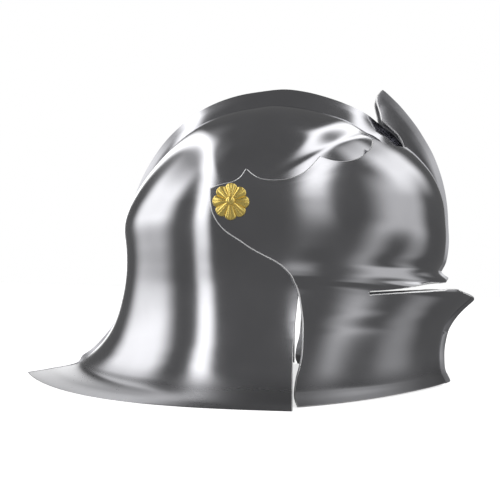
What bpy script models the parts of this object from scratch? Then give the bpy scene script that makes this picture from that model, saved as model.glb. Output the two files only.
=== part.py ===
"""Long-tailed sallet: a keeled steel skull, a pivoting visor, brass rosettes and rivets.

Metres, +Z up, +X towards the face, the rim rests on z = 0.
The skull table gives its outer face and the visor table its inner face.
A change of wall thickness therefore never closes the space between them.
"""
import math
from collections import namedtuple

import bmesh
import bpy

LENGTH = 0.3825
HEIGHT = 0.249
HALF_WIDTH = 0.0933
WALL = 0.002
VISOR_PLAY = 0.0009
PIVOT_X_SHARE = -0.0188
PIVOT_Z_SHARE = 0.542
PIVOT_X = PIVOT_X_SHARE * LENGTH
PIVOT_Z = PIVOT_Z_SHARE * HEIGHT

PIECE_GAP = 0.0003
RIVET_RADIUS = 0.0022
RIVET_HEAD_RADIUS = 0.0031
RIVET_HEAD_HEIGHT = 0.0021
RIVET_TAIL_RADIUS = 0.0044
RIVET_TAIL_HEIGHT = 0.0016
HEAD_STEPS = 5
TURN_STEPS = 24

ROSETTE_RADIUS = 0.0123
ROSETTE_THICKNESS = 0.0026
ROSETTE_EDGE = 0.0011
PETALS = 8
PETAL_NOTCH = 0.2
PETAL_GROOVE = 0.0008
STEPS_PER_PETAL = 6
ROSETTE_RINGS = 4

BOWL_STEPS = 8
BOWL_STEP_DEG = 9.0
CREST_STEPS = 4
KEEL_SLOPE = 0.5
KEEL_DEPTH = 1.1
KEEL_BLEND = 3.0
SHARP_KEEL = 0.016
CURVE_STEPS = 4
REACH_PAST = 0.6

# A dome row is one section fanned about the pivot, from the brow over the crown to the back.
# x: crest, share of LENGTH. z: crest, share of HEIGHT. keel: share of HEIGHT.
Dome = namedtuple("Dome", "x z keel")

# A skirt row is one level section, from the pivot down past the rim.
# z, keel_back, keel_front: shares of HEIGHT. back, front, mid: shares of LENGTH.
# side: share of HALF_WIDTH. long and nose: plan curve (1 - t ** long) ** nose.
Skirt = namedtuple("Skirt", "z back front mid side long nose keel_back keel_front")

SKULL_DOME = (
    Dome(0.391, 0.542, 0.032),
    Dome(0.380, 0.670, 0.036),
    Dome(0.352, 0.761, 0.044),
    Dome(0.305, 0.846, 0.054),
    Dome(0.277, 0.877, 0.060),
    Dome(0.236, 0.923, 0.066),
    Dome(0.191, 0.953, 0.070),
    Dome(0.144, 0.975, 0.072),
    Dome(0.100, 0.989, 0.074),
    Dome(0.055, 0.994, 0.074),
    Dome(0.003, 0.983, 0.072),
    Dome(-0.043, 0.968, 0.070),
    Dome(-0.088, 0.943, 0.068),
    Dome(-0.133, 0.905, 0.064),
    Dome(-0.174, 0.851, 0.058),
    Dome(-0.211, 0.785, 0.050),
    Dome(-0.243, 0.701, 0.036),
    Dome(-0.264, 0.619, 0.020),
    Dome(-0.278, 0.542, 0.008),
)

SKULL_SKIRT = (
    Skirt(0.486, -0.279, 0.390, -0.018, 0.997, 2.00, 0.50, 0.004, 0.028),
    Skirt(0.426, -0.275, 0.386, -0.017, 0.990, 2.00, 0.50, 0.002, 0.020),
    Skirt(0.369, -0.274, 0.382, -0.013, 0.980, 2.00, 0.51, 0.001, 0.012),
    Skirt(0.317, -0.277, 0.379, -0.008, 0.975, 2.00, 0.52, 0.001, 0.008),
    Skirt(0.261, -0.284, 0.379, 0.000, 0.984, 2.05, 0.54, 0.001, 0.004),
    Skirt(0.209, -0.294, 0.382, 0.010, 1.008, 2.10, 0.57, 0.001, 0.004),
    Skirt(0.161, -0.308, 0.384, 0.024, 1.040, 2.20, 0.61, 0.001, 0.004),
    Skirt(0.120, -0.327, 0.390, 0.037, 1.070, 2.35, 0.66, 0.001, 0.004),
    Skirt(0.088, -0.347, 0.395, 0.050, 1.093, 2.50, 0.72, 0.001, 0.004),
    Skirt(0.060, -0.369, 0.400, 0.063, 1.110, 2.60, 0.80, 0.001, 0.004),
    Skirt(0.031, -0.391, 0.405, 0.076, 1.123, 2.70, 0.88, 0.001, 0.004),
    Skirt(0.009, -0.451, 0.410, 0.086, 1.134, 2.85, 0.96, 0.001, 0.004),
    Skirt(-0.008, -0.508, 0.413, 0.097, 1.162, 3.00, 1.00, 0.001, 0.004),
    Skirt(-0.020, -0.548, 0.416, 0.097, 1.190, 3.00, 1.00, 0.001, 0.004),
)

VISOR_DOME = (
    Dome(0.421, 0.542, 0.008),
    Dome(0.416, 0.624, 0.012),
    Dome(0.404, 0.705, 0.028),
    Dome(0.385, 0.780, 0.054),
    Dome(0.362, 0.840, 0.078),
    Dome(0.341, 0.886, 0.094),
    Dome(0.312, 0.938, 0.106),
    Dome(0.291, 0.969, 0.112),
    Dome(0.269, 0.997, 0.116),
    Dome(0.232, 1.030, 0.104),
    Dome(0.175, 1.050, 0.088),
    Dome(0.073, 1.063, 0.080),
    Dome(-0.019, 1.050, 0.076),
    Dome(-0.126, 0.990, 0.068),
    Dome(-0.210, 0.888, 0.056),
    Dome(-0.284, 0.730, 0.036),
    Dome(-0.317, 0.542, 0.008),
)

VISOR_SKIRT = (
    Skirt(0.488, -0.298, 0.423, -0.019, 0.999, 2.00, 0.52, 0.004, 0.008),
    Skirt(0.432, -0.295, 0.419, -0.019, 1.001, 1.95, 0.56, 0.004, 0.004),
    Skirt(0.390, -0.293, 0.409, -0.019, 1.006, 1.90, 0.60, 0.004, 0.004),
    Skirt(0.360, -0.293, 0.429, -0.019, 1.012, 1.85, 0.65, 0.004, 0.004),
    Skirt(0.345, -0.293, 0.439, -0.019, 1.016, 1.80, 0.68, 0.004, 0.004),
    Skirt(0.329, -0.293, 0.500, -0.019, 1.021, 1.60, 0.82, 0.004, 0.004),
    Skirt(0.308, -0.293, 0.489, -0.019, 1.025, 1.58, 0.84, 0.004, 0.004),
    Skirt(0.268, -0.293, 0.462, -0.019, 1.033, 1.65, 0.84, 0.004, 0.004),
    Skirt(0.240, -0.293, 0.446, -0.019, 1.042, 1.70, 0.84, 0.004, 0.004),
    Skirt(0.212, -0.293, 0.434, -0.019, 1.050, 1.72, 0.84, 0.004, 0.004),
    Skirt(0.184, -0.293, 0.427, -0.019, 1.059, 1.75, 0.85, 0.004, 0.004),
    Skirt(0.129, -0.293, 0.421, -0.019, 1.074, 1.75, 0.87, 0.004, 0.004),
    Skirt(0.070, -0.293, 0.422, -0.019, 1.087, 1.73, 0.90, 0.004, 0.004),
    Skirt(0.042, -0.293, 0.426, -0.019, 1.096, 1.70, 0.93, 0.004, 0.004),
    Skirt(0.030, -0.293, 0.430, -0.019, 1.110, 1.70, 0.95, 0.004, 0.004),
    Skirt(0.012, -0.293, 0.436, -0.019, 1.136, 1.70, 0.95, 0.004, 0.004),
    Skirt(-0.012, -0.293, 0.440, -0.019, 1.158, 1.70, 0.95, 0.004, 0.004),
)

# Outlines seen from the side, each row a smooth run of (share of LENGTH, share of HEIGHT).
VISOR_OUTLINE = (
    ((-0.055, 0.576), (-0.038, 0.586), (-0.018, 0.594), (-0.004, 0.608), (0.005, 0.630)),
    ((0.005, 0.630), (0.030, 0.606), (0.073, 0.607), (0.107, 0.631), (0.133, 0.679)),
    ((0.133, 0.679), (0.157, 0.671), (0.182, 0.673), (0.209, 0.691), (0.231, 0.728), (0.237, 0.762)),
    ((0.237, 0.762), (0.273, 0.756), (0.303, 0.763), (0.321, 0.779), (0.327, 0.803), (0.316, 0.842),
     (0.297, 0.871), (0.275, 0.896)),
    ((0.275, 0.896), (0.271, 0.926), (0.264, 0.962), (0.266, 0.983), (0.277, 1.008)),
    ((0.277, 1.008), (0.300, 1.100)),
    ((0.300, 1.100), (REACH_PAST, 1.100)),
    ((REACH_PAST, 1.100), (REACH_PAST, 0.009)),
    ((REACH_PAST, 0.009), (0.440, 0.009)),
    ((0.440, 0.009), (0.107, 0.002)),
    ((0.107, 0.002), (0.101, 0.028), (0.103, 0.071), (0.109, 0.112), (0.112, 0.153), (0.112, 0.221),
     (0.108, 0.265), (0.103, 0.305), (0.096, 0.334), (0.088, 0.354), (0.075, 0.374), (0.059, 0.390),
     (0.037, 0.406), (0.016, 0.423), (-0.001, 0.440), (-0.025, 0.463), (-0.040, 0.486),
     (-0.049, 0.510), (-0.054, 0.542), (-0.055, 0.576)),
)

SIGHT_OUTLINE = (
    ((0.235, 0.304), (0.232, 0.311), (0.235, 0.318)),
    ((0.235, 0.318), (0.331, 0.335), (0.376, 0.346), (0.420, 0.355), (0.442, 0.360), (REACH_PAST, 0.372)),
    ((REACH_PAST, 0.372), (REACH_PAST, 0.272)),
    ((REACH_PAST, 0.272), (0.500, 0.308), (0.461, 0.321), (0.421, 0.328), (0.331, 0.319), (0.235, 0.304)),
)

FACE_OUTLINE = (
    ((0.097, -0.050), (0.097, 0.000)),
    ((0.097, 0.000), (0.095, 0.120), (0.095, 0.175), (0.098, 0.249), (0.103, 0.313), (0.118, 0.373),
     (0.146, 0.418), (0.188, 0.442), (0.240, 0.450)),
    ((0.240, 0.450), (REACH_PAST, 0.452)),
    ((REACH_PAST, 0.452), (REACH_PAST, -0.050)),
    ((REACH_PAST, -0.050), (0.097, -0.050)),
)


def clear_scene():
    for item in list(bpy.data.objects):
        bpy.data.objects.remove(item, do_unlink=True)


def make_collection(name):
    group = bpy.data.collections.new(name)
    bpy.context.scene.collection.children.link(group)
    return group


def make_material(name, colour, metallic, roughness):
    material = bpy.data.materials.new(name)
    material.use_nodes = True
    shader = material.node_tree.nodes["Principled BSDF"]
    shader.inputs["Base Color"].default_value = (*colour, 1.0)
    shader.inputs["Metallic"].default_value = metallic
    shader.inputs["Roughness"].default_value = roughness
    return material


def make_object(name, shape, group, material=None):
    mesh = bpy.data.meshes.new(name)
    shape.to_mesh(mesh)
    shape.free()
    item = bpy.data.objects.new(name, mesh)
    if material is not None:
        mesh.materials.append(material)
    group.objects.link(item)
    return item


def half_width(run, reach, side, keel, long, nose):
    """Half width of a section at a distance from its widest place."""
    bowl_share = min(run / (reach - keel), 1.0)
    bowl = side * (1.0 - bowl_share ** long) ** nose
    depth = KEEL_DEPTH * keel
    ridge = KEEL_SLOPE * depth * (1.0 - math.exp(-(reach - run) / depth))
    return (bowl ** KEEL_BLEND + ridge ** KEEL_BLEND) ** (1.0 / KEEL_BLEND)


def half_section(reach, side, keel, long=2.0, nose=0.5):
    """Points (distance, half width) from beside the widest place to the crest."""
    runs = []
    for step in range(1, BOWL_STEPS + 1):
        runs.append((reach - keel) * math.sin(math.radians(step * BOWL_STEP_DEG)))
    start = runs[-1]
    ease = 2.0 - keel / (keel + SHARP_KEEL)
    for step in range(1, CREST_STEPS + 1):
        share = 1.0 - (1.0 - step / CREST_STEPS) ** ease
        runs.append(start + (reach - start) * share)
    points = []
    for run in runs[:-1]:
        points.append((run, half_width(run, reach, side, keel, long, nose)))
    points.append((reach, 0.0))
    return points


def dome_section(row, grow):
    across = row.x * LENGTH - PIVOT_X
    up = row.z * HEIGHT - PIVOT_Z
    reach = math.hypot(across, up)
    points = []
    for run, width in half_section(reach + grow, HALF_WIDTH + grow, row.keel * HEIGHT):
        points.append((PIVOT_X + across * run / reach, width, PIVOT_Z + up * run / reach))
    return points


def skirt_section(row, grow):
    mid = row.mid * LENGTH
    side = row.side * HALF_WIDTH + grow
    level = row.z * HEIGHT
    front = half_section(row.front * LENGTH - mid + grow, side, row.keel_front * HEIGHT, row.long, row.nose)
    back = half_section(mid - row.back * LENGTH + grow, side, row.keel_back * HEIGHT, row.long, row.nose)
    points = [(mid + run, width, level) for run, width in reversed(front)]
    points.append((mid, side, level))
    points.extend((mid - run, width, level) for run, width in back)
    return points


def half_sheet(dome, skirt, grow):
    """Left half of an inner face: a fan over the pivot and level rows under it."""
    shape = bmesh.new()
    pole = shape.verts.new((PIVOT_X, HALF_WIDTH + grow, PIVOT_Z))
    fan = []
    for row in dome:
        fan.append([shape.verts.new(point) for point in dome_section(row, grow)])
    for ahead, behind in zip(fan[:-1], fan[1:]):
        shape.faces.new((pole, ahead[0], behind[0]))
        for step in range(len(ahead) - 1):
            shape.faces.new((ahead[step], ahead[step + 1], behind[step + 1], behind[step]))
    above = list(reversed(fan[0])) + [pole] + fan[-1]
    for row in skirt:
        below = [shape.verts.new(point) for point in skirt_section(row, grow)]
        for step in range(len(above) - 1):
            shape.faces.new((above[step], above[step + 1], below[step + 1], below[step]))
        above = below
    bmesh.ops.recalc_face_normals(shape, faces=shape.faces)
    pole_faces = [face for face in shape.faces if pole in face.verts]
    if pole_faces[0].normal.y < 0.0:
        bmesh.ops.reverse_faces(shape, faces=shape.faces)
    return shape


def smooth_run(points):
    """Points of a curve that passes through every given point."""
    if len(points) == 2:
        return [points[0]]
    run = []
    last = len(points) - 1
    for index in range(last):
        before = points[max(index - 1, 0)]
        start = points[index]
        end = points[index + 1]
        after = points[min(index + 2, last)]
        for step in range(CURVE_STEPS):
            t = step / CURVE_STEPS
            pair = []
            for axis in (0, 1):
                slope_start = (end[axis] - before[axis]) / 2.0
                slope_end = (after[axis] - start[axis]) / 2.0
                gap = end[axis] - start[axis]
                pair.append(
                    start[axis] + slope_start * t
                    + (3.0 * gap - 2.0 * slope_start - slope_end) * t ** 2
                    + (slope_start + slope_end - 2.0 * gap) * t ** 3
                )
            run.append(tuple(pair))
    return run


def side_prism(name, outline, group):
    """A block through the helmet whose side view is the outline."""
    shape = bmesh.new()
    ring = []
    for points in outline:
        for x, z in smooth_run(points):
            ring.append(shape.verts.new((x * LENGTH, -2.0 * HALF_WIDTH, z * HEIGHT)))
    face = shape.faces.new(ring)
    swept = bmesh.ops.extrude_face_region(shape, geom=[face])
    moved = [item for item in swept["geom"] if isinstance(item, bmesh.types.BMVert)]
    bmesh.ops.translate(shape, vec=(0.0, 4.0 * HALF_WIDTH, 0.0), verts=moved)
    bmesh.ops.recalc_face_normals(shape, faces=shape.faces)
    return make_cutter(name, shape, group)


def bore_cutter(name, radius, group):
    shape = bmesh.new()
    bmesh.ops.create_cone(
        shape, cap_ends=True, segments=TURN_STEPS, radius1=radius, radius2=radius, depth=4.0 * HALF_WIDTH
    )
    for vert in shape.verts:
        across, depth, up = vert.co.x, vert.co.z, vert.co.y
        vert.co = (PIVOT_X + across, depth, PIVOT_Z + up)
    bmesh.ops.recalc_face_normals(shape, faces=shape.faces)
    return make_cutter(name, shape, group)


def floor_cutter(name, group):
    shape = bmesh.new()
    bmesh.ops.create_cube(shape, size=2.0 * LENGTH)
    bmesh.ops.translate(shape, vec=(0.0, 0.0, -LENGTH), verts=shape.verts)
    return make_cutter(name, shape, group)


def make_cutter(name, shape, group):
    cutter = make_object(name, shape, group)
    cutter.hide_render = True
    cutter.display_type = "WIRE"
    return cutter


def add_mirror(item):
    mirror = item.modifiers.new("mirror", "MIRROR")
    mirror.use_axis = (False, True, False)
    mirror.use_clip = True
    mirror.merge_threshold = 0.00005


def add_wall(item):
    wall = item.modifiers.new("wall", "SOLIDIFY")
    wall.thickness = WALL
    wall.offset = 1.0
    wall.use_even_offset = True


def add_cut(item, cutter, operation="DIFFERENCE"):
    cut = item.modifiers.new(cutter.name, "BOOLEAN")
    cut.operation = operation
    cut.solver = "EXACT"
    cut.object = cutter


def build_skull(group, cutters, steel):
    skull = make_object("skull", half_sheet(SKULL_DOME, SKULL_SKIRT, -WALL), group, steel)
    add_mirror(skull)
    add_wall(skull)
    add_cut(skull, side_prism("face_cutter", FACE_OUTLINE, cutters))
    add_cut(skull, bore_cutter("skull_bore", RIVET_RADIUS + PIECE_GAP, cutters))
    add_cut(skull, floor_cutter("floor_cutter", cutters))
    return skull


def build_visor(group, cutters, steel):
    visor = make_object("visor", half_sheet(VISOR_DOME, VISOR_SKIRT, VISOR_PLAY), group, steel)
    add_mirror(visor)
    add_wall(visor)
    add_cut(visor, side_prism("visor_keeper", VISOR_OUTLINE, cutters), "INTERSECT")
    add_cut(visor, side_prism("sight_cutter", SIGHT_OUTLINE, cutters))
    add_cut(visor, bore_cutter("visor_bore", RIVET_RADIUS + PIECE_GAP, cutters))
    return visor


def rosette_outline(angle):
    swing = abs(math.cos(angle * PETALS / 2.0))
    return ROSETTE_RADIUS * (1.0 - PETAL_NOTCH * (1.0 - math.sqrt(swing)))


def build_rosette(name, hand, group, brass):
    """hand is 1 on the left and -1 on the right."""
    shape = bmesh.new()
    base = HALF_WIDTH + VISOR_PLAY + WALL + PIECE_GAP
    bore = RIVET_RADIUS + PIECE_GAP
    steps = PETALS * STEPS_PER_PETAL
    front = []
    back = []
    for ring in range(ROSETTE_RINGS + 1):
        share = ring / ROSETTE_RINGS
        front_ring = []
        back_ring = []
        for step in range(steps):
            angle = 2.0 * math.pi * step / steps
            radius = bore + (rosette_outline(angle) - bore) * share
            valley = (1.0 - abs(math.cos(angle * PETALS / 2.0))) * PETAL_GROOVE * math.sin(math.pi * share ** 0.7)
            rise = ROSETTE_EDGE + (ROSETTE_THICKNESS - ROSETTE_EDGE) * (1.0 - share ** 2.4) - valley
            x = PIVOT_X + radius * math.cos(angle)
            z = PIVOT_Z + radius * math.sin(angle)
            front_ring.append(shape.verts.new((x, hand * (base + rise), z)))
            back_ring.append(shape.verts.new((x, hand * base, z)))
        front.append(front_ring)
        back.append(back_ring)
    loops = back[::-1] + front
    for inner, outer in zip(loops[:-1], loops[1:]):
        bridge(shape, inner, outer)
    bridge(shape, front[-1], back[-1])
    bmesh.ops.recalc_face_normals(shape, faces=shape.faces)
    return make_object(name, shape, group, brass)


def bridge(shape, first, second):
    count = len(first)
    for step in range(count):
        after = (step + 1) % count
        shape.faces.new((first[step], first[after], second[after], second[step]))


def build_rivet(name, hand, group, brass):
    """A domed head over the rosette, a plain shank and a plain inner head."""
    seat = HALF_WIDTH + VISOR_PLAY + WALL + PIECE_GAP + ROSETTE_THICKNESS + PIECE_GAP
    inner = HALF_WIDTH - WALL - 3.0 * PIECE_GAP
    profile = []
    for step in range(HEAD_STEPS):
        angle = math.radians(90.0 * step / HEAD_STEPS)
        profile.append((RIVET_HEAD_RADIUS * math.sin(angle), seat + RIVET_HEAD_HEIGHT * math.cos(angle)))
    profile.append((RIVET_HEAD_RADIUS, seat))
    profile.append((RIVET_RADIUS, seat))
    profile.append((RIVET_RADIUS, inner))
    profile.append((RIVET_TAIL_RADIUS, inner))
    profile.append((RIVET_TAIL_RADIUS, inner - 0.5 * RIVET_TAIL_HEIGHT))
    profile.append((0.6 * RIVET_TAIL_RADIUS, inner - RIVET_TAIL_HEIGHT))
    profile.append((0.0, inner - RIVET_TAIL_HEIGHT))
    shape = bmesh.new()
    line = [shape.verts.new((PIVOT_X + radius, hand * depth, PIVOT_Z)) for radius, depth in profile]
    edges = [shape.edges.new(pair) for pair in zip(line[:-1], line[1:])]
    bmesh.ops.spin(
        shape, geom=line + edges, cent=(PIVOT_X, 0.0, PIVOT_Z), axis=(0.0, 1.0, 0.0),
        angle=2.0 * math.pi, steps=TURN_STEPS, use_merge=True
    )
    bmesh.ops.remove_doubles(shape, verts=shape.verts, dist=0.00001)
    bmesh.ops.recalc_face_normals(shape, faces=shape.faces)
    return make_object(name, shape, group, brass)


def main():
    clear_scene()
    group = make_collection("long_tailed_sallet")
    cutters = make_collection("cutters")
    steel = make_material("polished_steel", (0.46, 0.46, 0.48), 1.0, 0.16)
    visor_steel = make_material("visor_steel", (0.47, 0.47, 0.49), 1.0, 0.15)
    brass = make_material("brass", (0.83, 0.62, 0.20), 1.0, 0.25)
    rivet_brass = make_material("rivet_brass", (0.86, 0.68, 0.28), 1.0, 0.22)
    build_skull(group, cutters, steel)
    build_visor(group, cutters, visor_steel)
    build_rosette("rosette_right", -1.0, group, brass)
    build_rosette("rosette_left", 1.0, group, brass)
    build_rivet("rivet_right", -1.0, group, rivet_brass)
    build_rivet("rivet_left", 1.0, group, rivet_brass)


main()
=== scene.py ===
"""Long-tailed sallet: polished steel bowl and visor, brass rosettes and rivets, on a pale studio floor."""
import math
from collections import namedtuple

import bmesh
import bpy
from bpy.props import FloatProperty, FloatVectorProperty, IntProperty, PointerProperty
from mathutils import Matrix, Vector
from mathutils.kdtree import KDTree


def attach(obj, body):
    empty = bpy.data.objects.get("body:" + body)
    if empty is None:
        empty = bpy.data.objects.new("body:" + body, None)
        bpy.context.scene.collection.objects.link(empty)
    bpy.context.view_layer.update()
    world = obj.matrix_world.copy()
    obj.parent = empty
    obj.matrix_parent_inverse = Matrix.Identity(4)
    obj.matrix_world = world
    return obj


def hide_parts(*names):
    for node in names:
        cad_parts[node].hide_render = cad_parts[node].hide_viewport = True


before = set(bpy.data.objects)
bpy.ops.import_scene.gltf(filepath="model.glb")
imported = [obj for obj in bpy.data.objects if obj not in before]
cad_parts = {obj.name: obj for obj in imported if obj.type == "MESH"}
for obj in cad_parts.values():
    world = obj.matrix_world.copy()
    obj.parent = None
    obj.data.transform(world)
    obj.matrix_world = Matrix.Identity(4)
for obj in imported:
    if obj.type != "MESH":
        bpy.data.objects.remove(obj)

bl_info = {
    "name": "Long-tailed sallet",
    "version": (1, 0, 0),
    "blender": (4, 5, 0),
    "location": "View3D > Sidebar > Sallet",
    "description": "Builds a polished steel sallet with a pivoting visor and its studio",
    "category": "Add Mesh",
}

# The pivots, as shares of length and height, and how far cutting blocks reach, as a share of length.
PIVOT_X_SHARE = -0.0188
PIVOT_Z_SHARE = 0.542
REACH_PAST = 0.6

# How a section rounds over and rises to its keel.
KEEL_SLOPE = 0.5
KEEL_DEPTH = 1.1
KEEL_BLEND = 3.0
# Exponents of a section that is a plain ellipse, as over the dome.
ELLIPSE = (2.0, 0.5)
# A point nearer the widest place than this lies on it.
POLE = 0.00001

# Least and most share of a section's steps that go up its keel, and the keel height for the most.
RIDGE_LEAST = 0.02
RIDGE_MOST = 0.26
RIDGE_FULL_KEEL = 0.012

# Below the pivots the skirt takes over the dome's slope, which fades out over JOIN_FADE.
# JOIN_STEP: share of a table over which a slope is measured. JOIN_LEAST: nearer the widest
# place than this share of the way to the crest, nothing is shifted.
JOIN_FADE = 0.016
JOIN_STEP = 0.004
JOIN_LEAST = 0.06

# A dome row is one section fanned about the pivot, from the brow over the crown to the back.
# x: crest, share of length. z: crest, share of height. keel: share of height.
Dome = namedtuple("Dome", "x z keel")

# A skirt row is one level section, from the pivot down past the rim.
# z, keel_back, keel_front: shares of height. back, front, mid: shares of length.
# side: share of half width. long and nose: plan curve (1 - t ** long) ** nose.
Skirt = namedtuple("Skirt", "z back front mid side long nose keel_back keel_front")

Plate = namedtuple("Plate", "dome skirt")

SKULL_DOME = (
    Dome(0.391, 0.542, 0.032),
    Dome(0.380, 0.670, 0.036),
    Dome(0.352, 0.761, 0.044),
    Dome(0.305, 0.846, 0.054),
    Dome(0.277, 0.877, 0.060),
    Dome(0.236, 0.923, 0.066),
    Dome(0.191, 0.953, 0.070),
    Dome(0.144, 0.975, 0.072),
    Dome(0.100, 0.989, 0.074),
    Dome(0.055, 0.994, 0.074),
    Dome(0.003, 0.983, 0.072),
    Dome(-0.043, 0.968, 0.070),
    Dome(-0.088, 0.943, 0.068),
    Dome(-0.133, 0.905, 0.064),
    Dome(-0.174, 0.851, 0.058),
    Dome(-0.211, 0.785, 0.050),
    Dome(-0.243, 0.701, 0.036),
    Dome(-0.264, 0.619, 0.020),
    Dome(-0.278, 0.542, 0.008),
)

SKULL_SKIRT = (
    Skirt(0.542, -0.278, 0.391, -0.0188, 1.000, 2.00, 0.50, 0.008, 0.032),
    Skirt(0.486, -0.279, 0.390, -0.018, 0.997, 2.00, 0.50, 0.004, 0.028),
    Skirt(0.426, -0.275, 0.386, -0.017, 0.990, 2.00, 0.50, 0.002, 0.020),
    Skirt(0.369, -0.274, 0.382, -0.013, 0.980, 2.00, 0.51, 0.001, 0.012),
    Skirt(0.317, -0.277, 0.379, -0.008, 0.975, 2.00, 0.52, 0.001, 0.008),
    Skirt(0.261, -0.284, 0.379, 0.000, 0.984, 2.05, 0.54, 0.001, 0.004),
    Skirt(0.209, -0.294, 0.382, 0.010, 1.008, 2.10, 0.57, 0.001, 0.004),
    Skirt(0.161, -0.308, 0.384, 0.024, 1.040, 2.20, 0.61, 0.001, 0.004),
    Skirt(0.120, -0.327, 0.390, 0.037, 1.070, 2.35, 0.66, 0.001, 0.004),
    Skirt(0.088, -0.347, 0.395, 0.050, 1.093, 2.50, 0.72, 0.001, 0.004),
    Skirt(0.060, -0.369, 0.400, 0.063, 1.110, 2.60, 0.80, 0.001, 0.004),
    Skirt(0.031, -0.391, 0.405, 0.076, 1.123, 2.70, 0.88, 0.001, 0.004),
    Skirt(0.009, -0.451, 0.410, 0.086, 1.134, 2.85, 0.96, 0.001, 0.004),
    Skirt(-0.008, -0.508, 0.413, 0.097, 1.162, 3.00, 1.00, 0.001, 0.004),
    Skirt(-0.020, -0.548, 0.416, 0.097, 1.190, 3.00, 1.00, 0.001, 0.004),
)

VISOR_DOME = (
    Dome(0.421, 0.542, 0.008),
    Dome(0.416, 0.624, 0.012),
    Dome(0.404, 0.705, 0.028),
    Dome(0.385, 0.780, 0.054),
    Dome(0.362, 0.840, 0.078),
    Dome(0.341, 0.886, 0.094),
    Dome(0.312, 0.938, 0.106),
    Dome(0.291, 0.969, 0.112),
    Dome(0.269, 0.997, 0.116),
    Dome(0.232, 1.030, 0.104),
    Dome(0.175, 1.050, 0.088),
    Dome(0.073, 1.063, 0.080),
    Dome(-0.019, 1.050, 0.076),
    Dome(-0.126, 0.990, 0.068),
    Dome(-0.210, 0.888, 0.056),
    Dome(-0.284, 0.730, 0.036),
    Dome(-0.317, 0.542, 0.008),
)

VISOR_SKIRT = (
    Skirt(0.542, -0.317, 0.421, -0.0188, 1.000, 2.00, 0.50, 0.008, 0.008),
    Skirt(0.488, -0.298, 0.423, -0.019, 0.999, 2.00, 0.52, 0.004, 0.008),
    Skirt(0.432, -0.295, 0.419, -0.019, 1.001, 1.95, 0.56, 0.004, 0.004),
    Skirt(0.390, -0.293, 0.409, -0.019, 1.006, 1.90, 0.60, 0.004, 0.004),
    Skirt(0.360, -0.293, 0.429, -0.019, 1.012, 1.85, 0.65, 0.004, 0.004),
    Skirt(0.345, -0.293, 0.439, -0.019, 1.016, 1.80, 0.68, 0.004, 0.004),
    Skirt(0.329, -0.293, 0.500, -0.019, 1.021, 1.60, 0.82, 0.004, 0.004),
    Skirt(0.308, -0.293, 0.489, -0.019, 1.025, 1.58, 0.84, 0.004, 0.004),
    Skirt(0.268, -0.293, 0.462, -0.019, 1.033, 1.65, 0.84, 0.004, 0.004),
    Skirt(0.240, -0.293, 0.446, -0.019, 1.042, 1.70, 0.84, 0.004, 0.004),
    Skirt(0.212, -0.293, 0.434, -0.019, 1.050, 1.72, 0.84, 0.004, 0.004),
    Skirt(0.184, -0.293, 0.427, -0.019, 1.059, 1.75, 0.85, 0.004, 0.004),
    Skirt(0.129, -0.293, 0.421, -0.019, 1.074, 1.75, 0.87, 0.004, 0.004),
    Skirt(0.070, -0.293, 0.422, -0.019, 1.087, 1.73, 0.90, 0.004, 0.004),
    Skirt(0.042, -0.293, 0.426, -0.019, 1.096, 1.70, 0.93, 0.004, 0.004),
    Skirt(0.030, -0.293, 0.430, -0.019, 1.110, 1.70, 0.95, 0.004, 0.004),
    Skirt(0.012, -0.293, 0.436, -0.019, 1.136, 1.70, 0.95, 0.004, 0.004),
    Skirt(-0.012, -0.293, 0.440, -0.019, 1.158, 1.70, 0.95, 0.004, 0.004),
)

# Outlines seen from the side, each row a smooth run of (share of length, share of height).
VISOR_EDGE = (
    ((0.277, 1.008), (0.266, 0.983), (0.264, 0.962), (0.271, 0.926), (0.275, 0.896)),
    ((0.275, 0.896), (0.297, 0.871), (0.316, 0.842), (0.327, 0.803), (0.321, 0.779), (0.303, 0.763),
     (0.273, 0.756), (0.237, 0.762)),
    ((0.237, 0.762), (0.231, 0.728), (0.209, 0.691), (0.182, 0.673), (0.157, 0.671), (0.133, 0.679)),
    ((0.133, 0.679), (0.107, 0.631), (0.073, 0.607), (0.030, 0.606), (0.005, 0.630)),
    ((0.005, 0.630), (-0.004, 0.608), (-0.018, 0.594), (-0.038, 0.586), (-0.055, 0.576)),
    ((-0.055, 0.576), (-0.054, 0.542), (-0.049, 0.510), (-0.040, 0.486), (-0.025, 0.463),
     (-0.001, 0.440), (0.016, 0.423), (0.037, 0.406), (0.059, 0.390), (0.075, 0.374), (0.088, 0.354),
     (0.096, 0.334), (0.103, 0.305), (0.108, 0.265), (0.112, 0.221), (0.112, 0.153), (0.109, 0.112),
     (0.103, 0.071), (0.101, 0.028), (0.107, 0.002)),
    ((0.107, 0.002), (0.440, 0.009)),
)
VISOR_OUTSIDE = (
    ((0.440, 0.009), (REACH_PAST, 0.009)),
    ((REACH_PAST, 0.009), (REACH_PAST, -0.200)),
    ((REACH_PAST, -0.200), (-REACH_PAST, -0.200)),
    ((-REACH_PAST, -0.200), (-REACH_PAST, 1.300)),
    ((-REACH_PAST, 1.300), (0.300, 1.300)),
    ((0.300, 1.300), (0.277, 1.008)),
)

SIGHT_UPPER = (
    (0.235, 0.318), (0.331, 0.335), (0.376, 0.346), (0.420, 0.355), (0.442, 0.360), (REACH_PAST, 0.372),
)
SIGHT_LOWER = (
    (REACH_PAST, 0.272), (0.500, 0.308), (0.461, 0.321), (0.421, 0.328), (0.331, 0.319), (0.235, 0.304),
)
SIGHT_END = ((0.235, 0.304), (0.232, 0.311), (0.235, 0.318))
SIGHT_OUTLINE = (SIGHT_END, SIGHT_UPPER, ((REACH_PAST, 0.372), (REACH_PAST, 0.272)), SIGHT_LOWER)

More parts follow.
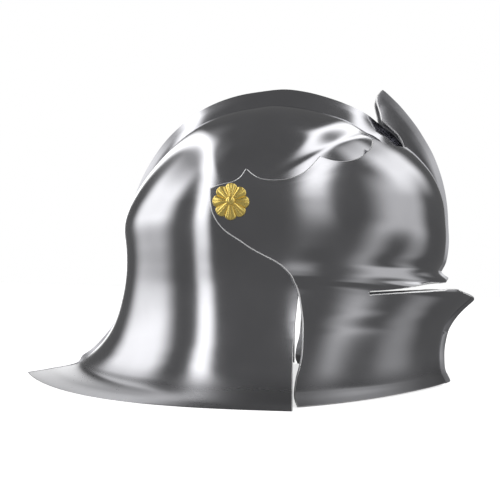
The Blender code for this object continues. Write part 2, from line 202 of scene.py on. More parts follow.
FACE_EDGE = (
    ((0.097, 0.000), (0.095, 0.120), (0.095, 0.175), (0.098, 0.249), (0.103, 0.313), (0.118, 0.373),
     (0.146, 0.418), (0.188, 0.442), (0.240, 0.450)),
    ((0.240, 0.450), (0.420, 0.452)),
)
FACE_OUTSIDE = (
    ((0.420, 0.452), (REACH_PAST, 0.452)),
    ((REACH_PAST, 0.452), (REACH_PAST, -0.050)),
    ((REACH_PAST, -0.050), (0.097, -0.050)),
    ((0.097, -0.050), (0.097, 0.000)),
)

# Round border of the plates: how far it swells, and how many cuts round it.
RIM_ROUND = 0.0007
RIM_CUTS = 3
# A border narrower than this counts as this wide.
RIM_LEAST = 0.0001
# The bowl's inner face is cut this far below the floor, and what reaches below it is flattened.
RIM_SUNK = 0.0016
SHARP_ANGLE = math.radians(50.0)
# The wall grows along a sharp keel, but never past this many times its thickness.
MOST_WALL = 2.4

# Points nearer than these are one: in a sheet, at its mirror plane, after its cuts, in brass.
SHEET_MERGE = 0.00001
MIRROR_MERGE = 0.00002
CUT_MERGE = 0.00003
BRASS_MERGE = 0.000001
# A shorter edge is taken out of a cut sheet.
CUT_SLIVER = 0.00002
# Steps of a curve between two given points.
CURVE_STEPS = 6

WHITE = (1.0, 1.0, 1.0, 1.0)
FLOOR_SIZE = 40.0
FLOOR_COLOUR = (0.9, 0.9, 0.9, 1.0)
FLOOR_ROUGHNESS = 0.9
FLOOR_GLOW = 0.75

# The photograph's view: level, 419 mm from the middle plane, turned a little about its own axis.
CAMERA_PLACE = (0.0390, -0.4188, 0.0771)
CAMERA_ROLL = math.radians(-1.7355)
SENSOR_WIDTH = 36.0
LENS = 35.06
LENS_SHIFT_X = -0.096
LENS_SHIFT_Y = 0.082
CLIP_START = 0.01

# What the polished plate mirrors: tall soft screens and a round arch of light on each side.
# Degrees, apart from strength, with azimuth 0 towards the camera and 90 to the right.
# low and high: elevations of foot and top. wide: half width. soft: how far its edges fade each way.
Screen = namedtuple("Screen", "azimuth low high wide soft strength")
SCREENS = (
    Screen(-88.0, 3.0, 38.0, 24.0, 9.0, 1.55),
    Screen(-88.0, -14.0, 6.0, 20.0, 10.0, 0.55),
    Screen(-90.0, 34.0, 58.0, 40.0, 14.0, 0.35),
    Screen(94.0, 30.0, 56.0, 24.0, 11.0, 1.45),
    Screen(74.0, -2.0, 34.0, 18.0, 9.0, 0.65),
    Screen(56.0, -30.0, 4.0, 5.0, 7.0, 0.40),
    Screen(88.0, -26.0, 2.0, 8.0, 7.0, 0.28),
)
# azimuth and elevation: the arch's middle. wide and tall: half sizes, in degrees. thick and soft:
# half thickness and fade, as shares of those. low: elevation round which its feet fade out.
Arch = namedtuple("Arch", "azimuth elevation wide tall thick soft low strength")
ARCHES = (
    Arch(-92.0, 6.0, 60.0, 51.0, 0.075, 0.08, -12.0, 2.1),
    Arch(92.0, 18.0, 68.0, 54.0, 0.065, 0.08, 12.0, 1.9),
)
# An arch's feet fade from this far above its low to this far below it.
FOOT_ABOVE = 24.0
FOOT_BELOW = 16.0
ROOM_GLOW = 0.13

# Brass fittings.
PIECE_GAP = 0.0003
ROSETTE_RADIUS = 0.0123
ROSETTE_THICKNESS = 0.0026
ROSETTE_EDGE = 0.0011
PETALS = 8
PETAL_NOTCH = 0.2
VALLEY_DEPTH = 0.0009
GROOVE_DEPTH = 0.0003
RIVET_RADIUS = 0.0022
RIVET_HEAD_RADIUS = 0.0031
RIVET_HEAD_HEIGHT = 0.0021
RIVET_TAIL_RADIUS = 0.0044
RIVET_TAIL_HEIGHT = 0.0016
RIVET_TAIL_GAP = 0.0009
# Steps round and along the rosettes and the rivets.
ROSETTE_GRID = (480, 60)
RIVET_GRID = (64, 40)

# A rosette's profile. ROSETTE_TOP: share of its steps on the top face. ROSETTE_FLAT: share of the
# radius where the edge starts to round over. ROSETTE_BULGE: how far the round edge swells.
ROSETTE_TOP = 0.8
ROSETTE_FLAT = 0.86
ROSETTE_BULGE = 0.02
CROWN_POWER = 2.4
EDGE_POWER = 2.5
# Valleys between petals: how narrow, share of the radius where deepest, how slowly they open.
VALLEY_POWER = 1.6
VALLEY_FULL = 0.85
VALLEY_OPENING = 1.5
# Fine groove down each petal's middle: how wide, and share of the radius over which it deepens.
GROOVE_WIDTH = 0.012
GROOVE_START = 0.3
# Share of a rivet's steps on each of its two domes.
RIVET_DOME = 0.45

# Near the rim the polish is duller and the colour is darkened with a painted shade: heights between which
# both fade, the painted shade's darkness and the added roughness.
RIM_SHADE_AND_DULL_FROM = 0.008
RIM_SHADE_AND_DULL_TO = 0.026
RIM_PAINTED_SHADE = 0.55
DULL_ROUGHNESS = 0.16

# Fine polishing marks: scale and detail of their noise, depth, strength, and the roughness
# they add, as a share of the metal's own.
MARK_SCALE = 260.0
MARK_DETAIL = 3.0
MARK_DEPTH = 0.000008
MARK_STRENGTH = 0.6
MARK_ROUGHNESS = 0.25

# Uneven polish: scale and detail of its patches, shade of the darker ones, and their
# least and most roughness, as shares of the metal's own.
PATCH_SCALE = 22.0
PATCH_DETAIL = 4.0
PATCH_SHADE = 0.88
PATCH_LEAST_ROUGH = 0.85
PATCH_MOST_ROUGH = 1.15

# The middle of a noise pattern, which is spread over a range of values.
NOISE_LOW = 0.3
NOISE_HIGH = 0.7

# waves and depth: scale and depth of the hammer waves. grain: how much finer the polishing
# marks are along x, y and z. metallic: 1 for bare metal.
Metal = namedtuple("Metal", "waves depth grain metallic")
STEEL = Metal(16.0, 0.00025, (1.0, 1.0, 9.0), 1.0)
EDGE_HIGHLIGHT_METAL = Metal(16.0, 0.0001, (1.0, 1.0, 9.0), 0.6)
BRASS = Metal(180.0, 0.00006, (1.0, 1.0, 1.0), 0.8)
# Pale colour and lower metallic of the plate borders: a painted highlight along the edges.
EDGE_PAINTED_HIGHLIGHT = (0.95, 0.95, 0.96)
EDGE_ROUGHNESS = 0.3


class SalletSizes(bpy.types.PropertyGroup):
    """Driving sizes of the helmet."""
    length: FloatProperty(
        name="Length", description="From tail tip to prow", default=0.3825, unit="LENGTH", precision=4)
    height: FloatProperty(
        name="Height", description="From rim to the crest of the bowl", default=0.249, unit="LENGTH",
        precision=4)
    half_width: FloatProperty(
        name="Half width", description="Outer half width of the bowl at the pivots", default=0.0933,
        unit="LENGTH", precision=4)
    wall: FloatProperty(
        name="Wall", description="Thickness of the plate", default=0.002, unit="LENGTH", precision=4)
    play: FloatProperty(
        name="Visor play", description="Room between bowl and visor at the pivots", default=0.0009,
        unit="LENGTH", precision=5)
    fan_steps: IntProperty(
        name="Fan steps", description="Sections over the dome", default=110)
    level_steps: IntProperty(
        name="Level steps", description="Level rows below the pivots", default=100)
    side_steps: IntProperty(
        name="Side steps", description="Points from side to crest", default=46)


class SalletFinish(bpy.types.PropertyGroup):
    """Colours and polish."""
    steel: FloatVectorProperty(
        name="Steel", description="Colour of the polished plate", subtype="COLOR",
        default=(0.56, 0.56, 0.585))
    steel_roughness: FloatProperty(
        name="Steel roughness", description="Roughness of the polished plate", default=0.12, subtype="FACTOR")
    brass: FloatVectorProperty(
        name="Brass", description="Colour of rosettes and rivets", subtype="COLOR", default=(1.0, 0.76, 0.22))
    brass_roughness: FloatProperty(
        name="Brass roughness", description="Roughness of the brass", default=0.20, subtype="FACTOR")


def sizes():
    return bpy.context.scene.sallet_sizes


def finish():
    return bpy.context.scene.sallet_finish


def clamp(value, low=0.0, high=1.0):
    return min(max(value, low), high)


def smooth_value(before, start, end, after, t):
    slope_start = (end - before) / 2.0
    slope_end = (after - start) / 2.0
    gap = end - start
    return (start + slope_start * t + (3.0 * gap - 2.0 * slope_start - slope_end) * t ** 2
            + (slope_start + slope_end - 2.0 * gap) * t ** 3)


def row_between(rows, share, before=None, after=None):
    """A row part of the way along a table, on smooth curves through its columns and past its ends."""
    last = len(rows) - 1
    place = share * last
    index = min(int(place), last - 1)
    earlier = rows[index - 1] if index > 0 else before or rows[0]
    later = rows[index + 2] if index + 2 <= last else after or rows[last]
    picked = (earlier, rows[index], rows[index + 1], later)
    return type(rows[0])(*(smooth_value(*column, place - index) for column in zip(*picked)))


def dome_ends(skirt):
    """The skirt's next row, seen from the dome's front and back ends."""
    row = skirt[1]
    return Dome(row.front, row.z, row.keel_front), Dome(row.back, row.z, row.keel_back)


def skirt_start(dome, skirt):
    """A row above the skirt, on the lines that join the dome's next rows to the skirt's."""
    row = skirt[1]
    z = 2.0 * skirt[0].z - row.z
    front = row.front + (dome[1].x - row.front) * (z - row.z) / (dome[1].z - row.z)
    back = row.back + (dome[-2].x - row.back) * (z - row.z) / (dome[-2].z - row.z)
    return skirt[0]._replace(z=z, front=front, back=back)


def run_share(share, reach, keel):
    """Distance from the widest place for an even step towards the crest: an arc, then up the keel."""
    ridge_share = RIDGE_LEAST + (RIDGE_MOST - RIDGE_LEAST) * min(keel / RIDGE_FULL_KEEL, 1.0)
    bowl_share = 1.0 - ridge_share
    if share <= bowl_share:
        return (reach - keel) * math.sin(math.pi / 2.0 * share / bowl_share)
    return reach - keel * (1.0 - share) / ridge_share


def half_width(run, reach, side, keel, long, nose):
    """Half width of a section at a distance from its widest place."""
    if run < POLE:
        return side
    bowl_share = min(run / (reach - keel), 1.0)
    bowl = side * (1.0 - bowl_share ** long) ** nose
    depth = KEEL_DEPTH * keel
    ridge = KEEL_SLOPE * depth * (1.0 - math.exp(-(reach - run) / depth))
    return (bowl ** KEEL_BLEND + ridge ** KEEL_BLEND) ** (1.0 / KEEL_BLEND)


def fan_point(plate, along, up, grow):
    """A point of the dome: along runs from brow to back, up runs from the pivot to the crest."""
    size = sizes()
    row = row_between(plate.dome, along, *dome_ends(plate.skirt))
    pivot_x = PIVOT_X_SHARE * size.length
    pivot_z = PIVOT_Z_SHARE * size.height
    across = row.x * size.length - pivot_x
    rise = row.z * size.height - pivot_z
    reach = math.hypot(across, rise)
    keel = row.keel * size.height
    run = run_share(up, reach + grow, keel)
    width = half_width(run, reach + grow, size.half_width + grow, keel, *ELLIPSE) if up < 1.0 else 0.0
    return Vector((pivot_x + across * run / reach, width, pivot_z + rise * run / reach))


def level_point(plate, down, around, grow):
    """A point of the skirt: down runs from pivot to rim, around from the front (-1) to the back (1)."""
    size = sizes()
    row = row_between(plate.skirt, down, skirt_start(plate.dome, plate.skirt))
    mid = row.mid * size.length
    side = row.side * size.half_width + grow
    if around < 0.0:
        reach, keel, way = row.front * size.length - mid + grow, row.keel_front * size.height, 1.0
    else:
        reach, keel, way = mid - row.back * size.length + grow, row.keel_back * size.height, -1.0
    run = run_share(abs(around), reach, keel)
    width = half_width(run, reach, side, keel, row.long, row.nose) if abs(around) < 1.0 else 0.0
    return Vector((mid + way * run, width, row.z * size.height))


def joined_point(plate, down, around, grow):
    """A point of the skirt, shifted so that the skirt leaves the dome without a crease."""
    place = level_point(plate, down, around, grow)
    share = abs(around)
    if share < JOIN_LEAST or share > 1.0 - JOIN_STEP:
        return place
    end = 0.0 if around < 0.0 else 1.0
    near = JOIN_STEP if around < 0.0 else 1.0 - JOIN_STEP
    dome_step = fan_point(plate, near, share, grow) - fan_point(plate, end, share, grow)
    skirt_step = level_point(plate, JOIN_STEP, around, grow) - level_point(plate, 0.0, around, grow)
    depth = PIVOT_Z_SHARE * sizes().height - place.z
    turn = dome_step / dome_step.z - skirt_step / skirt_step.z
    return place - turn * depth * math.exp(-(depth / JOIN_FADE) ** 2)


def helmet_sheet(name, plate, grow, metal):
    """A plate's inner face, both halves, grown outwards from its tables. Slot two is for its border."""
    size = sizes()
    shape = bmesh.new()
    fan = bmesh.ops.create_grid(
        shape, x_segments=size.fan_steps, y_segments=size.side_steps, size=0.5)["verts"]
    for vert in fan:
        vert.co = fan_point(plate, clamp(vert.co.x + 0.5), clamp(vert.co.y + 0.5), grow)
    levels = bmesh.ops.create_grid(
        shape, x_segments=2 * size.side_steps, y_segments=size.level_steps, size=0.5)["verts"]
    for vert in levels:
        vert.co = joined_point(plate, clamp(vert.co.y + 0.5), clamp(2.0 * vert.co.x, -1.0), grow)
    bmesh.ops.remove_doubles(shape, verts=shape.verts, dist=SHEET_MERGE)
    bmesh.ops.dissolve_degenerate(shape, edges=shape.edges, dist=SHEET_MERGE)
    bmesh.ops.mirror(
        shape, geom=shape.verts[:] + shape.edges[:] + shape.faces[:], axis="Y", merge_dist=MIRROR_MERGE)
    bmesh.ops.recalc_face_normals(shape, faces=shape.faces)
    outer = max(shape.faces, key=lambda face: face.calc_center_median().y)
    if outer.normal.y < 0.0:
        bmesh.ops.reverse_faces(shape, faces=shape.faces)
    item = add_object(name, shape)
    item.data.materials.append(metal)
    item.data.materials.append(metal)
    return item


def add_object(name, shape):
    mesh = bpy.data.meshes.new(name)
    shape.to_mesh(mesh)
    shape.free()
    item = bpy.data.objects.new(name, mesh)
    bpy.context.scene.collection.objects.link(item)
    return item


def open_shape(item):
    shape = bmesh.new()
    shape.from_mesh(item.data)
    return shape


def keep_shape(item, shape):
    shape.to_mesh(item.data)
    shape.free()


def freeze(item):
    """Replaces an object's mesh by the one its modifiers make."""
    bpy.context.view_layer.update()
    graph = bpy.context.evaluated_depsgraph_get()
    mesh = bpy.data.meshes.new_from_object(item.evaluated_get(graph))
    item.modifiers.clear()
    old = item.data
    item.data = mesh
    bpy.data.meshes.remove(old)


def smooth_run(points):
    """Points of a curve through every given point, without the last."""
    if len(points) == 2:
        return [points[0]]
    last = len(points) - 1
    run = []
    for index in range(last):
        picked = [points[max(index - 1, 0)], points[index], points[index + 1], points[min(index + 2, last)]]
        for step in range(CURVE_STEPS):
            run.append(tuple(smooth_value(*axis, step / CURVE_STEPS) for axis in zip(*picked)))
    return run


def side_prism(name, outline):
    """A block through the helmet whose side view is the outline."""
    size = sizes()
    reach = 2.0 * size.half_width
    shape = bmesh.new()
    ring = []
    for points in outline:
        for x, z in smooth_run(points):
            ring.append(shape.verts.new((x * size.length, -reach, z * size.height)))
    face = shape.faces.new(ring)
    swept = bmesh.ops.extrude_face_region(shape, geom=[face])
    moved = [item for item in swept["geom"] if isinstance(item, bmesh.types.BMVert)]
    bmesh.ops.translate(shape, vec=(0.0, 2.0 * reach, 0.0), verts=moved)
    bmesh.ops.recalc_face_normals(shape, faces=shape.faces)
    return add_object(name, shape)


def cut(sheet, cutter):
    """Takes a block out of a sheet; the block's own faces, marked as second material, go too."""
    cutter.data.materials.append(sheet.data.materials[0])
    cutter.data.materials.append(sheet.data.materials[0])
    cutter.data.polygons.foreach_set("material_index", [1] * len(cutter.data.polygons))
    step = sheet.modifiers.new(cutter.name, "BOOLEAN")
    step.operation = "DIFFERENCE"
    step.solver = "EXACT"
    step.object = cutter
    freeze(sheet)
    bpy.data.objects.remove(cutter)
    shape = open_shape(sheet)
    marked = [face for face in shape.faces if face.material_index == 1]
    bmesh.ops.delete(shape, geom=marked, context="FACES")
    keep_shape(sheet, shape)


def finish_plate(item):
    """Gives a cut sheet its wall and a rounded edge all along its border."""
    shape = open_shape(item)
    bmesh.ops.remove_doubles(shape, verts=shape.verts, dist=CUT_MERGE)
    bmesh.ops.dissolve_degenerate(shape, edges=shape.edges, dist=CUT_SLIVER)
    keep_shape(item, shape)
    shape = open_shape(item)
    thicken(shape, sizes().wall)
    round_rim(shape)
    keep_shape(item, shape)
    # The border gets the pale edge metal, a painted highlight along the plate's edge.
    item.data.materials[1] = painted_highlight_edge_material(item.data.materials[0].name + "_edge")


def thicken(shape, wall):
    """Adds the outer face of a plate and closes its border with faces of the second material."""
    shape.normal_update()
    inner_faces = shape.faces[:]
    border = [edge for edge in shape.edges if edge.is_boundary]
    pushes = {vert: vert.normal * wall * min(vert.calc_shell_factor(), MOST_WALL) for vert in shape.verts}
    outer = bmesh.ops.duplicate(shape, geom=shape.verts[:] + shape.edges[:] + inner_faces)["vert_map"]
    for vert, push in pushes.items():
        outer[vert].co = vert.co + push
    bmesh.ops.reverse_faces(shape, faces=inner_faces)
    for edge in border:
        loop = edge.link_loops[0]
        first, second = loop.vert, loop.link_loop_next.vert
        rim = shape.faces.new((second, first, outer[first], outer[second]))
        rim.material_index = 1
    shape.normal_update()


def round_rim(shape):
    """Swells the flat border of a plate, its faces with the second material, into a round edge."""
    rim = [face for face in shape.faces if face.material_index == 1]
    inside = {edge for face in rim for edge in face.edges}
    across = [edge for edge in inside if all(face.material_index == 1 for face in edge.link_faces)]
    places = []
    for edge in across:
        middle = (edge.verts[0].co + edge.verts[1].co) / 2.0
        push = sum((face.normal for face in edge.link_faces), Vector()).normalized()
        places.append((middle, push, edge.calc_length()))
    cuts = bmesh.ops.subdivide_edges(shape, edges=across, cuts=RIM_CUTS, use_grid_fill=True)
    tree = KDTree(len(places))
    for index, place in enumerate(places):
        tree.insert(place[0], index)
    tree.balance()
    for vert in {item for item in cuts["geom_inner"] if isinstance(item, bmesh.types.BMVert)}:
        middle, push, length = places[tree.find(vert.co)[1]]
        share = 2.0 * (vert.co - middle).length / max(length, RIM_LEAST)
        vert.co += push * RIM_ROUND * math.sqrt(max(0.0, 1.0 - share ** 2))
    for vert in shape.verts:
        vert.co.z = max(vert.co.z, 0.0)
    shape.normal_update()
    for edge in shape.edges:
        if edge.is_manifold:
            mixed = edge.link_faces[0].material_index != edge.link_faces[1].material_index
            edge.smooth = not mixed and edge.calc_face_angle() < SHARP_ANGLE
    for face in shape.faces:
        face.smooth = True


class SALLET_OT_skull(bpy.types.Operator):
    """Add the bowl with its keel, tail and out-turned rim"""
    bl_idname = "sallet.skull"
    bl_label = "Add bowl"

    def execute(self, context):
        size = sizes()
        skull = helmet_sheet(
            "skull_plate", Plate(SKULL_DOME, SKULL_SKIRT), -size.wall, steel_material("bowl_steel"))
        cut(skull, side_prism("face_cutter", FACE_EDGE + FACE_OUTSIDE))
        shape = bmesh.new()
        bmesh.ops.create_cube(shape, size=2.0 * size.length)
        bmesh.ops.translate(shape, vec=(0.0, 0.0, -RIM_SUNK - size.length), verts=shape.verts)
        cut(skull, add_object("floor_cutter", shape))
        finish_plate(skull)
        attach(skull, "bowl")
        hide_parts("skull")
        return {"FINISHED"}


class SALLET_OT_visor(bpy.types.Operator):
    """Add the visor with its peak, scalloped edge, sight slit and flange"""
    bl_idname = "sallet.visor"
    bl_label = "Add visor"

    def execute(self, context):
        visor = helmet_sheet(
            "visor_plate", Plate(VISOR_DOME, VISOR_SKIRT), sizes().play, steel_material("visor_steel"))
        cut(visor, side_prism("edge_cutter", VISOR_EDGE + VISOR_OUTSIDE))
        cut(visor, side_prism("sight_cutter", SIGHT_OUTLINE))
        finish_plate(visor)
        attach(visor, "visor")
        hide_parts("visor")
        return {"FINISHED"}


class Maths:
    """Math nodes of one node tree, written like a formula."""

    def __init__(self, tree):
        self.tree = tree

    def do(self, operation, first, second=0.0):
        node = self.tree.nodes.new("ShaderNodeMath")
        node.operation = operation
        for socket, value in zip(node.inputs, (first, second)):
            if isinstance(value, (int, float)):
                socket.default_value = value
            else:
                self.tree.links.new(value, socket)
        return node.outputs["Value"]

    def fade(self, value, start, end):
        """Smoothly 1 at the start and 0 at the end."""
        node = self.tree.nodes.new("ShaderNodeMapRange")
        node.interpolation_type = "SMOOTHSTEP"
        node.inputs["From Min"].default_value = start
        node.inputs["From Max"].default_value = end
        node.inputs["To Min"].default_value = 1.0
        node.inputs["To Max"].default_value = 0.0
        self.tree.links.new(value, node.inputs["Value"])
        return node.outputs["Result"]

    def away(self, value, centre):
        """Distance from a centre, in degrees, the short way round."""
        return self.do("PINGPONG", self.do("SUBTRACT", value, centre), 180.0)


def new_material(name):
    material = bpy.data.materials.new(name)
    material.use_nodes = True
    return material, material.node_tree.nodes, material.node_tree.links


def noise(nodes, links, place, scale, detail, stretch=(1.0, 1.0, 1.0)):
    """A noise pattern on the piece's own coordinates, stretched along the axes."""
    mapping = nodes.new("ShaderNodeMapping")
    mapping.inputs["Scale"].default_value = stretch
    links.new(place, mapping.inputs["Vector"])
    pattern = nodes.new("ShaderNodeTexNoise")
    pattern.inputs["Scale"].default_value = scale
    pattern.inputs["Detail"].default_value = detail
    links.new(mapping.outputs["Vector"], pattern.inputs["Vector"])
    return pattern.outputs["Fac"]


def spread(nodes, links, value, low, high):
    """Turns the middle of a noise pattern into a range of values."""
    node = nodes.new("ShaderNodeMapRange")
    node.inputs["From Min"].default_value = NOISE_LOW
    node.inputs["From Max"].default_value = NOISE_HIGH
    node.inputs["To Min"].default_value = low
    node.inputs["To Max"].default_value = high
    links.new(value, node.inputs["Value"])
    return node.outputs["Result"]


def metal_colour(nodes, links, colour, patches, rim_shade_and_dull):
    """The metal's colour, darker in random patches, and darkened near the rim with a painted shade."""
    tint = nodes.new("ShaderNodeMix")
    tint.data_type = "RGBA"
    tint.inputs["A"].default_value = (*[part * PATCH_SHADE for part in colour], 1.0)
    tint.inputs["B"].default_value = (*colour, 1.0)
    links.new(spread(nodes, links, patches, 0.0, 1.0), tint.inputs["Factor"])
    # Painted shade: the colour is multiplied darker near the rim.
    painted_rim_shade = nodes.new("ShaderNodeMix")
    painted_rim_shade.data_type = "RGBA"
    painted_rim_shade.blend_type = "MULTIPLY"
    painted_rim_shade.inputs["B"].default_value = (RIM_PAINTED_SHADE, RIM_PAINTED_SHADE, RIM_PAINTED_SHADE, 1.0)
    links.new(rim_shade_and_dull, painted_rim_shade.inputs["Factor"])
    links.new(tint.outputs["Result"], painted_rim_shade.inputs["A"])
    return painted_rim_shade.outputs["Result"]


def metal_relief(nodes, links, waves, depth, marks):
    """Fine polishing marks over shallow hammer waves."""
    wave = nodes.new("ShaderNodeBump")
    wave.inputs["Strength"].default_value = 1.0
    wave.inputs["Distance"].default_value = depth
    links.new(waves, wave.inputs["Height"])
    scratch = nodes.new("ShaderNodeBump")
    scratch.inputs["Strength"].default_value = MARK_STRENGTH
    scratch.inputs["Distance"].default_value = MARK_DEPTH
    links.new(marks, scratch.inputs["Height"])
    links.new(wave.outputs["Normal"], scratch.inputs["Normal"])
    return scratch.outputs["Normal"]


def metal_material(name, colour, roughness, look):
    """Polished metal, uneven in colour and polish, rougher near the rim and darkened there with a painted
    shade.
    """
    material, nodes, links = new_material(name)
    maths = Maths(material.node_tree)
    shader = nodes["Principled BSDF"]
    shader.inputs["Metallic"].default_value = look.metallic
    place = nodes.new("ShaderNodeTexCoord").outputs["Object"]
    height = nodes.new("ShaderNodeSeparateXYZ")
    links.new(place, height.inputs["Vector"])
    # Mask low down near the rim: a painted shade in the colour, and added roughness.
    rim_shade_and_dull = maths.fade(height.outputs["Z"], RIM_SHADE_AND_DULL_FROM, RIM_SHADE_AND_DULL_TO)
    patches = noise(nodes, links, place, PATCH_SCALE, PATCH_DETAIL)
    marks = noise(nodes, links, place, MARK_SCALE, MARK_DETAIL, look.grain)
    waves = noise(nodes, links, place, look.waves, 1.0)
    links.new(metal_colour(nodes, links, colour, patches, rim_shade_and_dull), shader.inputs["Base Color"])
    patchy = spread(
        nodes, links, patches, roughness * PATCH_LEAST_ROUGH, roughness * PATCH_MOST_ROUGH)
    marked = spread(nodes, links, marks, 0.0, roughness * MARK_ROUGHNESS)
    dulled = maths.do("MULTIPLY", rim_shade_and_dull, DULL_ROUGHNESS)
    rough = maths.do("ADD", maths.do("ADD", patchy, marked), dulled)
    links.new(rough, shader.inputs["Roughness"])
    links.new(metal_relief(nodes, links, waves, look.depth, marks), shader.inputs["Normal"])
    return material


def steel_material(name):
    return metal_material(name, finish().steel, finish().steel_roughness, STEEL)


def painted_highlight_edge_material(name):
    """Edge of a plate, paler and less mirror-like than its faces: a painted highlight along its border."""
    return metal_material(name, EDGE_PAINTED_HIGHLIGHT, EDGE_ROUGHNESS, EDGE_HIGHLIGHT_METAL)


def brass_material(name):
    return metal_material(name, finish().brass, finish().brass_roughness, BRASS)


def round_piece(name, surface, grid_steps, side, metal):
    """A closed piece round the pivot axis; surface(turn, share) gives radius and distance outwards."""
    size = sizes()
    shape = bmesh.new()
    turns, steps = grid_steps
    grid = bmesh.ops.create_grid(shape, x_segments=turns, y_segments=steps, size=0.5)["verts"]
    for vert in grid:
        turn = 2.0 * math.pi * (vert.co.x + 0.5)
        radius, out = surface(turn, clamp(vert.co.y + 0.5))
        vert.co = (
            PIVOT_X_SHARE * size.length + radius * math.cos(turn),
            side * out,
            PIVOT_Z_SHARE * size.height + radius * math.sin(turn),
        )
    bmesh.ops.remove_doubles(shape, verts=shape.verts, dist=BRASS_MERGE)
    bmesh.ops.dissolve_degenerate(shape, edges=shape.edges, dist=BRASS_MERGE)
    bmesh.ops.recalc_face_normals(shape, faces=shape.faces)
    for face in shape.faces:
        face.smooth = True
    item = add_object(name, shape)
    item.data.set_sharp_from_angle(angle=SHARP_ANGLE)
    item.data.materials.append(metal)
    return item


def rosette_seat():
    size = sizes()
    return size.half_width + size.play + size.wall + PIECE_GAP


def rosette_surface(turn, share):
    """Top from the middle outwards, round edge, then the flat underside back to the middle."""
    lobe = abs(math.cos(PETALS / 2.0 * turn))
    rim = ROSETTE_RADIUS * (1.0 - PETAL_NOTCH * (1.0 - math.sqrt(lobe)))
    if share > ROSETTE_TOP:
        return rim * (1.0 - share) / (1.0 - ROSETTE_TOP), rosette_seat()
    out = share / ROSETTE_TOP
    fall = max(0.0, (out - ROSETTE_FLAT) / (1.0 - ROSETTE_FLAT))
    reach = out + ROSETTE_BULGE * math.sin(math.pi * fall)
    crown = ROSETTE_EDGE + (ROSETTE_THICKNESS - ROSETTE_EDGE) * (1.0 - out ** CROWN_POWER)
    opening = math.sin(math.pi / 2.0 * min(out / VALLEY_FULL, 1.0)) ** VALLEY_OPENING
    valley = VALLEY_DEPTH * (1.0 - lobe) ** VALLEY_POWER * opening
    groove = GROOVE_DEPTH * math.exp(-((1.0 - lobe) / GROOVE_WIDTH) ** 2) * min(1.0, out / GROOVE_START)
    height = (crown - valley - groove) * math.sqrt(max(0.0, 1.0 - fall ** EDGE_POWER))
    return rim * min(reach, 1.0), rosette_seat() + max(height, 0.0)


def rivet_profile(share):
    """Radius and distance outwards, from the outer dome's top down the shank to the inner dome."""
    size = sizes()
    seat = rosette_seat() + ROSETTE_THICKNESS + PIECE_GAP
    inner = size.half_width - size.wall - RIVET_TAIL_GAP
    if share < RIVET_DOME:
        angle = math.pi / 2.0 * share / RIVET_DOME
        return RIVET_HEAD_RADIUS * math.sin(angle), seat + RIVET_HEAD_HEIGHT * math.cos(angle)
    if share < 0.5:
        return RIVET_RADIUS, seat
    if share < 1.0 - RIVET_DOME:
        return RIVET_RADIUS, inner
    angle = math.pi / 2.0 * (share - 1.0 + RIVET_DOME) / RIVET_DOME
    return RIVET_TAIL_RADIUS * math.cos(angle), inner - RIVET_TAIL_HEIGHT * math.sin(angle)


class SALLET_OT_rosettes(bpy.types.Operator):
    """Add the brass rosettes and rivets"""
    bl_idname = "sallet.rosettes"
    bl_label = "Add rosettes and rivets"

    def execute(self, context):
        rosette_metal = brass_material("rosette_brass")
        rivet_metal = brass_material("rivet_brass")
        for hand, side in (("right", -1.0), ("left", 1.0)):
            rosette = round_piece("petals_" + hand, rosette_surface, ROSETTE_GRID, side, rosette_metal)
            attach(rosette, "visor")
            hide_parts("rosette_" + hand)
            rivet = round_piece(
                "pin_" + hand, lambda turn, share: rivet_profile(share), RIVET_GRID, side, rivet_metal)
            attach(rivet, "bowl")
            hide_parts("rivet_" + hand)
        return {"FINISHED"}


class SALLET_OT_stage(bpy.types.Operator):
    """Add the floor, the lights, the surroundings and the camera"""
    bl_idname = "sallet.stage"
    bl_label = "Add studio"

    def execute(self, context):
        add_floor()
        add_world()
        add_camera()
        context.scene.view_settings.view_transform = "Standard"
        return {"FINISHED"}


def mirrored_studio(tree):
    """Light of the room by direction: screens and arches over a dim even glow."""
    maths = Maths(tree)
    place = tree.nodes.new("ShaderNodeTexCoord")
    split = tree.nodes.new("ShaderNodeSeparateXYZ")
    tree.links.new(place.outputs["Generated"], split.inputs["Vector"])
    turn = 180.0 / math.pi
    toward = maths.do("MULTIPLY", split.outputs["Y"], -1.0)
    azimuth = maths.do("MULTIPLY", maths.do("ARCTAN2", split.outputs["X"], toward), turn)
    elevation = maths.do("MULTIPLY", maths.do("ARCSINE", split.outputs["Z"]), turn)
    total = ROOM_GLOW
    for screen in SCREENS:
        beside = maths.away(azimuth, screen.azimuth)
        side = maths.fade(beside, screen.wide - screen.soft, screen.wide + screen.soft)
        top = maths.fade(elevation, screen.high - screen.soft, screen.high + screen.soft)
        foot = maths.fade(elevation, screen.low + screen.soft, screen.low - screen.soft)
        light = maths.do("MULTIPLY", maths.do("MULTIPLY", side, top), foot)
        total = maths.do("ADD", maths.do("MULTIPLY", light, screen.strength), total)
    for arch in ARCHES:
        across = maths.do("DIVIDE", maths.away(azimuth, arch.azimuth), arch.wide)
        rise = maths.do("DIVIDE", maths.do("SUBTRACT", elevation, arch.elevation), arch.tall)
        squares = maths.do("ADD", maths.do("POWER", across, 2.0), maths.do("MULTIPLY", rise, rise))
        off = maths.do("ABSOLUTE", maths.do("SUBTRACT", maths.do("SQRT", squares), 1.0))
        ring = maths.fade(off, arch.thick - arch.soft / 2.0, arch.thick + arch.soft)
        foot = maths.fade(elevation, arch.low + FOOT_ABOVE, arch.low - FOOT_BELOW)
        light = maths.do("MULTIPLY", ring, foot)
        total = maths.do("ADD", maths.do("MULTIPLY", light, arch.strength), total)
    return total


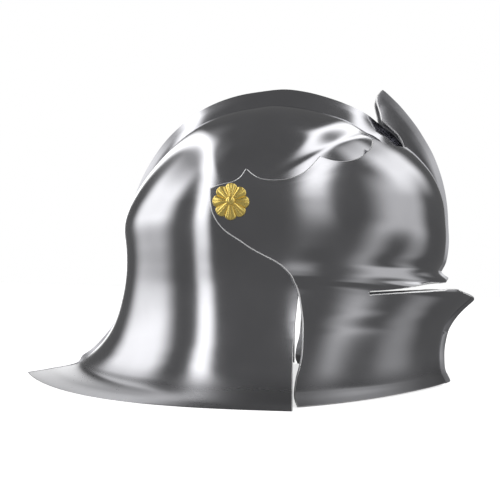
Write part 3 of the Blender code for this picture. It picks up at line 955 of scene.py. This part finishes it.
def add_floor():
    """Pale matt floor that glows a little and isn't mirrored in the plate."""
    shape = bmesh.new()
    bmesh.ops.create_grid(shape, x_segments=1, y_segments=1, size=FLOOR_SIZE / 2.0)
    floor = add_object("studio_floor", shape)
    material, nodes = new_material("floor_white")[:2]
    shader = nodes["Principled BSDF"]
    shader.inputs["Base Color"].default_value = FLOOR_COLOUR
    shader.inputs["Roughness"].default_value = FLOOR_ROUGHNESS
    shader.inputs["Emission Color"].default_value = WHITE
    shader.inputs["Emission Strength"].default_value = FLOOR_GLOW
    floor.data.materials.append(material)
    floor.visible_glossy = False


def add_world():
    """White where the camera looks past the helmet, and the mirrored studio everywhere else."""
    world = bpy.data.worlds.new("studio")
    bpy.context.scene.world = world
    world.use_nodes = True
    tree = world.node_tree
    path = tree.nodes.new("ShaderNodeLightPath")
    mix = tree.nodes.new("ShaderNodeMix")
    mix.data_type = "RGBA"
    mix.inputs["B"].default_value = WHITE
    tree.links.new(mirrored_studio(tree), mix.inputs["A"])
    tree.links.new(path.outputs["Is Camera Ray"], mix.inputs["Factor"])
    tree.links.new(mix.outputs["Result"], tree.nodes["Background"].inputs["Color"])


def add_camera():
    lens = bpy.data.cameras.new("camera")
    lens.sensor_width = SENSOR_WIDTH
    lens.lens = LENS
    lens.shift_x = LENS_SHIFT_X
    lens.shift_y = LENS_SHIFT_Y
    lens.clip_start = CLIP_START
    camera = bpy.data.objects.new("camera", lens)
    bpy.context.scene.collection.objects.link(camera)
    camera.location = CAMERA_PLACE
    camera.rotation_euler = (math.radians(90.0), CAMERA_ROLL, 0.0)
    bpy.context.scene.camera = camera


class SALLET_PT_panel(bpy.types.Panel):
    """Sidebar panel with the sizes, finishes and the steps"""
    bl_label = "Sallet"
    bl_idname = "SALLET_PT_panel"
    bl_space_type = "VIEW_3D"
    bl_region_type = "UI"
    bl_category = "Sallet"

    def draw(self, context):
        for group in (context.scene.sallet_sizes, context.scene.sallet_finish):
            for name in group.__annotations__:
                self.layout.prop(group, name)
        for step in (SALLET_OT_skull, SALLET_OT_visor, SALLET_OT_rosettes, SALLET_OT_stage):
            self.layout.operator(step.bl_idname)


CLASSES = (
    SalletSizes, SalletFinish, SALLET_OT_skull, SALLET_OT_visor, SALLET_OT_rosettes, SALLET_OT_stage,
    SALLET_PT_panel,
)


def register():
    for item in CLASSES:
        bpy.utils.register_class(item)
    bpy.types.Scene.sallet_sizes = PointerProperty(type=SalletSizes)
    bpy.types.Scene.sallet_finish = PointerProperty(type=SalletFinish)


def unregister():
    del bpy.types.Scene.sallet_finish
    del bpy.types.Scene.sallet_sizes
    for item in reversed(CLASSES):
        bpy.utils.unregister_class(item)


def main():
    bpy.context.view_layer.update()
    register()
    bpy.ops.sallet.skull()
    bpy.ops.sallet.visor()
    bpy.ops.sallet.rosettes()
    bpy.ops.sallet.stage()


if __name__ == "__main__":
    main()
